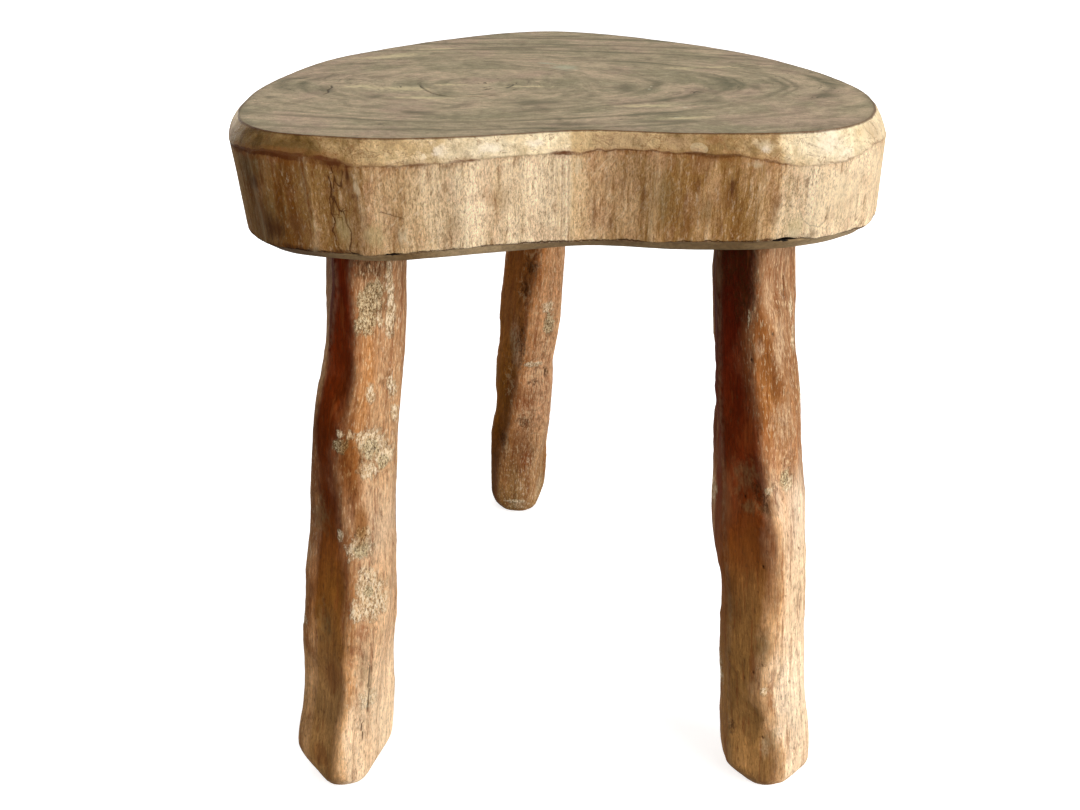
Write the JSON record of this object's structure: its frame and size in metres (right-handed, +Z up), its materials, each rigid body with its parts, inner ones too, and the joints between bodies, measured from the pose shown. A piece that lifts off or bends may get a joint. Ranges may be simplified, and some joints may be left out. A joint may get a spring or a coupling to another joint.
{
  "type": "milking stool",
  "caption": "Low milking stool: a thick kidney-shaped slab seat on splayed, hewn branch legs tenoned into blind mortises.",
  "frame": {"origin": "centre of the bounding box's bottom face, on the floor", "axes": "+Z up; the hollowed front edge of the seat looks towards -Y; +X to the right seen from the front"},
  "size_m": [0.2854, 0.3006, 0.34],
  "materials": {
    "seat_wood": "old dry pale hardwood, bare, greyed olive on the worn top, honey to tan on the cut sides",
    "leg_wood": "hewn branch wood, bare with a handled sheen, red brown above and sandy tan at the feet",
    "wedge_wood": "plain split dry hardwood, hidden inside the joint"
  },
  "bodies": {
    "root": {"seat_slab": "seat_wood", "front_left_leg": "leg_wood", "front_right_leg": "leg_wood", "rear_leg": "leg_wood", "front_left_fox_wedge": "wedge_wood", "front_right_fox_wedge": "wedge_wood", "rear_fox_wedge": "wedge_wood"}
  },
  "joints": []
}
